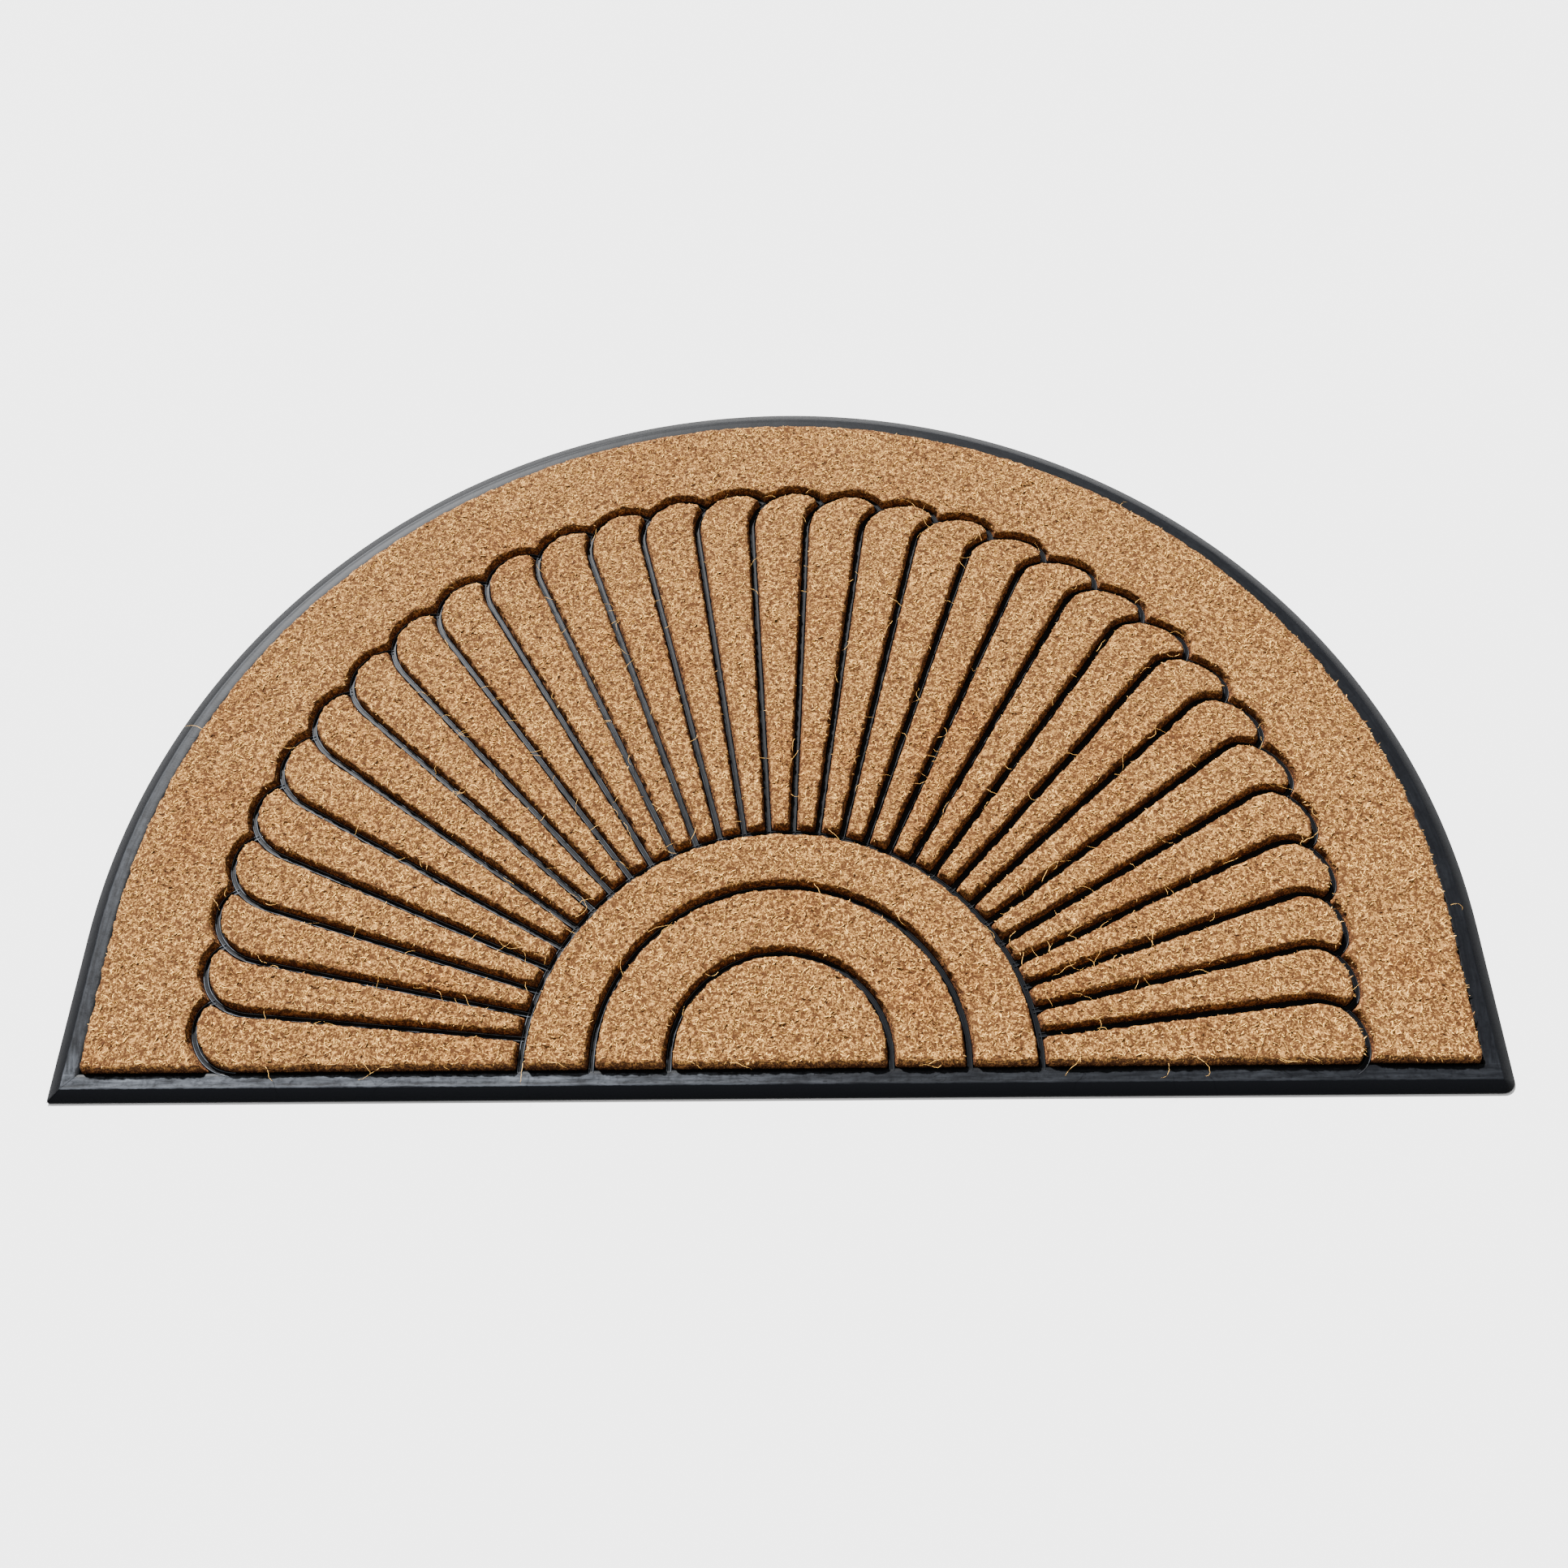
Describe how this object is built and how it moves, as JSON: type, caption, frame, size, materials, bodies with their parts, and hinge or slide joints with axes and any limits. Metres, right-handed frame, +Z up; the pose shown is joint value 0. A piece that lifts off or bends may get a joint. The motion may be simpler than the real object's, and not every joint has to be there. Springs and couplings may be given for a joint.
{
  "type": "half round doormat",
  "caption": "Half round doormat: a bevelled moulded rubber tray whose raised ribs part blocks of coir pile into a fan of petals, half rings and a scalloped outer band.",
  "frame": {"origin": "under the middle of the mat's box, on the surface that it lies on", "axes": "+X along the straight edge towards the right, +Y towards the middle of the round edge, +Z up out of the pile"},
  "size_m": [1.219, 0.762, 0.014],
  "materials": {
    "rubber": "moulded black rubber, satin, dusted and scuffed on its level ledge",
    "coir": "sheared coconut fibre pile, matt, speckled tan with brown stains"
  },
  "bodies": {
    "root": {"rubber_base": "rubber", "coir_centre": "coir", "coir_inner_ring": "coir", "coir_outer_ring": "coir", "coir_petal_01": "coir", "coir_petal_02": "coir", "coir_petal_03": "coir", "coir_petal_04": "coir", "coir_petal_05": "coir", "coir_petal_06": "coir", "coir_petal_07": "coir", "coir_petal_08": "coir", "coir_petal_09": "coir", "coir_petal_10": "coir", "coir_petal_11": "coir", "coir_petal_12": "coir", "coir_petal_13": "coir", "coir_petal_14": "coir", "coir_petal_15": "coir", "coir_petal_16": "coir", "coir_petal_17": "coir", "coir_petal_18": "coir", "coir_petal_19": "coir", "coir_petal_20": "coir", "coir_petal_21": "coir", "coir_petal_22": "coir", "coir_petal_23": "coir", "coir_petal_24": "coir", "coir_petal_25": "coir", "coir_petal_26": "coir", "coir_petal_27": "coir", "coir_petal_28": "coir", "coir_petal_29": "coir", "coir_petal_30": "coir", "coir_petal_31": "coir", "coir_outer_band": "coir"}
  },
  "joints": []
}
